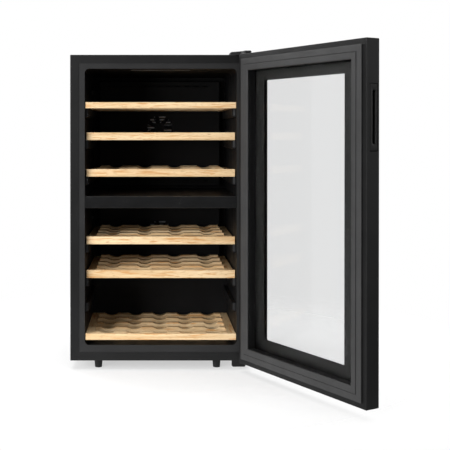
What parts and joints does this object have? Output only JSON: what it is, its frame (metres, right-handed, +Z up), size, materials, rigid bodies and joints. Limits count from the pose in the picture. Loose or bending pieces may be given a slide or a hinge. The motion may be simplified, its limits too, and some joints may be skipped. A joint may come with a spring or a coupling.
{
  "type": "wine cooler",
  "caption": "Free-standing two-zone wine cooler with wooden sliding shelves and a right-hinged glass door standing open.",
  "frame": {"origin": "on the floor, at the centre of the cabinet's footprint", "axes": "+X to the right seen from the front, +Y to the back, +Z up"},
  "size_m": [0.7112, 0.8956, 0.8435],
  "materials": {
    "black_painted_steel": "satin",
    "galvanised_steel": "satin",
    "steel": "satin",
    "liner_plastic": "satin",
    "foam": "matte",
    "black_plastic": "matte",
    "panel_gloss": "gloss",
    "circuit_board": "satin",
    "light_lens": "gloss",
    "aluminium": "satin",
    "copper": "satin",
    "compressor_black": "gloss",
    "rubber": "matte",
    "beech": "satin",
    "door_black": "satin",
    "gasket": "matte",
    "tinted_glass": "gloss",
    "clear_glass": "gloss",
    "border_print": "satin"
  },
  "bodies": {
    "cabinet": {"back_panel": "galvanised_steel", "base_pan": "black_painted_steel", "bay_cover": "black_plastic", "bay_partition": "galvanised_steel", "bottom_hinge_bracket": "black_painted_steel", "cabinet_wrap": "black_painted_steel", "compressor": "compressor_black", "compressor_grommets": "rubber", "condenser_coil": "aluminium", "condenser_fan_frame": "black_plastic", "control_board": "circuit_board", "control_panel": "panel_gloss", "drip_tray": "black_plastic", "foam_insulation": "foam", "foot_nuts": "steel", "hinge_backing_plates": "galvanised_steel", "hinge_screws": "steel", "inner_liner": "liner_plastic", "light_strips": "light_lens", "lower_duct_cover": "liner_plastic", "lower_evaporator": "aluminium", "lower_fan_frame": "black_plastic", "mains_inlet": "black_plastic", "power_board": "black_plastic", "refrigerant_line": "copper", "shelf_1_front": "beech", "shelf_1_lattice": "beech", "shelf_6_front": "beech", "shelf_6_lattice": "beech", "temperature_sensors": "black_plastic", "top_hinge_bracket": "steel", "top_hinge_cover": "black_plastic", "upper_duct_cover": "liner_plastic", "upper_evaporator": "aluminium", "upper_fan_frame": "black_plastic", "wall_spacers": "black_plastic", "zone_divider": "liner_plastic"},
    "door": {"door_frame": "door_black", "outer_pane": "tinted_glass", "inner_pane": "clear_glass", "pane_spacer": "aluminium", "pane_borders": "border_print", "door_gasket": "gasket", "handle_insert": "door_black", "door_bushings": "black_plastic"},
    "shelf_2": {"shelf_2_front": "beech", "shelf_2_lattice": "beech"},
    "shelf_3": {"shelf_3_front": "beech", "shelf_3_lattice": "beech"},
    "shelf_4": {"shelf_4_front": "beech", "shelf_4_lattice": "beech"},
    "shelf_5": {"shelf_5_front": "beech", "shelf_5_lattice": "beech"},
    "upper_fan": {"upper_fan_rotor": "black_plastic"},
    "lower_fan": {"lower_fan_rotor": "black_plastic"},
    "condenser_fan": {"condenser_fan_rotor": "black_plastic"},
    "foot_front_left": {"foot_front_left": "black_plastic"},
    "foot_front_right": {"foot_front_right": "black_plastic"},
    "foot_rear_left": {"foot_rear_left": "black_plastic"},
    "foot_rear_right": {"foot_rear_right": "black_plastic"}
  },
  "joints": [
    {"name": "door_hinge", "type": "hinge", "parent": "cabinet", "child": "door", "pos_m": [0.228, -0.2465, 0.43], "axis": [0, 0, 1], "range_deg": [-119.4, 0]},
    {"name": "shelf_2_slide", "type": "slide", "parent": "cabinet", "child": "shelf_2", "axis": [0, -1, 0], "range_m": [0, 0.22]},
    {"name": "shelf_3_slide", "type": "slide", "parent": "cabinet", "child": "shelf_3", "axis": [0, -1, 0], "range_m": [0, 0.22]},
    {"name": "shelf_4_slide", "type": "slide", "parent": "cabinet", "child": "shelf_4", "axis": [0, -1, 0], "range_m": [0, 0.22]},
    {"name": "shelf_5_slide", "type": "slide", "parent": "cabinet", "child": "shelf_5", "axis": [0, -1, 0], "range_m": [0, 0.22]},
    {"name": "upper_fan_spin", "type": "hinge", "parent": "cabinet", "child": "upper_fan", "pos_m": [0, 0.158, 0.645], "axis": [0, -1, 0], "continuous": true},
    {"name": "lower_fan_spin", "type": "hinge", "parent": "cabinet", "child": "lower_fan", "pos_m": [0, 0.158, 0.325], "axis": [0, -1, 0], "continuous": true},
    {"name": "condenser_fan_spin", "type": "hinge", "parent": "cabinet", "child": "condenser_fan", "pos_m": [0.005, 0.164, 0.095], "axis": [-1, 0, 0], "continuous": true},
    {"name": "foot_front_left_turn", "type": "hinge", "parent": "cabinet", "child": "foot_front_left", "pos_m": [-0.167, -0.185, 0.01], "axis": [0, 0, 1], "continuous": true},
    {"name": "foot_front_right_turn", "type": "hinge", "parent": "cabinet", "child": "foot_front_right", "pos_m": [0.15, -0.185, 0.01], "axis": [0, 0, 1], "continuous": true},
    {"name": "foot_rear_left_turn", "type": "hinge", "parent": "cabinet", "child": "foot_rear_left", "pos_m": [-0.167, 0.185, 0.01], "axis": [0, 0, 1], "continuous": true},
    {"name": "foot_rear_right_turn", "type": "hinge", "parent": "cabinet", "child": "foot_rear_right", "pos_m": [0.167, 0.185, 0.01], "axis": [0, 0, 1], "continuous": true}
  ]
}
